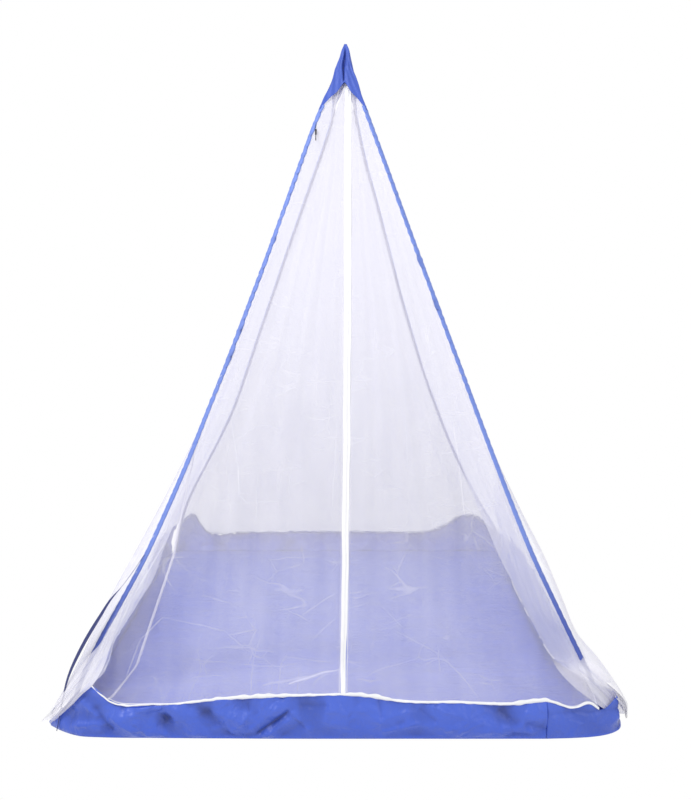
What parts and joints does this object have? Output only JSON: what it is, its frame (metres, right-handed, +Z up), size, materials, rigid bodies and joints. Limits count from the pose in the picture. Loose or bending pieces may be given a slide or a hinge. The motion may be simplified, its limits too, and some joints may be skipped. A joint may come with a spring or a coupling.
{
  "type": "pop-up mosquito net with pole frame",
  "caption": "Free-standing pyramid mosquito net on sleeved flexible poles, with a zipped front, a peak cap and a ground sheet with a low wall.",
  "frame": {"origin": "on the ground under the peak, at the underside of the ground sheet", "axes": "+Z up along the peak, -Y towards the zipped front"},
  "size_m": [2.1399, 2.0092, 2.5587],
  "materials": {
    "net_white": "sheer fine mesh",
    "zip_white": "matte woven tape with coil teeth",
    "ground_blue": "thin nylon, satin",
    "wall_blue": "thin nylon, satin",
    "cap_blue": "thin nylon, satin",
    "sleeve_blue": "thin nylon, satin",
    "strap_blue": "matte woven strap",
    "pole_grey": "glass fibre rod, smooth",
    "hub_black": "plain moulded",
    "pull_black": "plain moulded"
  },
  "bodies": {
    "root": {"floor_sheet": "ground_blue", "wall_front": "wall_blue", "wall_right": "wall_blue", "wall_back": "wall_blue", "wall_left": "wall_blue", "net_front_left": "net_white", "net_front_right": "net_white", "net_right": "net_white", "net_back": "net_white", "net_left": "net_white", "zip_tape": "zip_white", "peak_cap": "cap_blue", "sleeve_front_left": "sleeve_blue", "sleeve_front_right": "sleeve_blue", "sleeve_back_left": "sleeve_blue", "sleeve_back_right": "sleeve_blue", "pole_front_left": "pole_grey", "pole_front_right": "pole_grey", "pole_back_left": "pole_grey", "pole_back_right": "pole_grey", "pole_hub": "hub_black", "corner_strap": "strap_blue", "pull_toggle": "pull_black"}
  },
  "joints": []
}
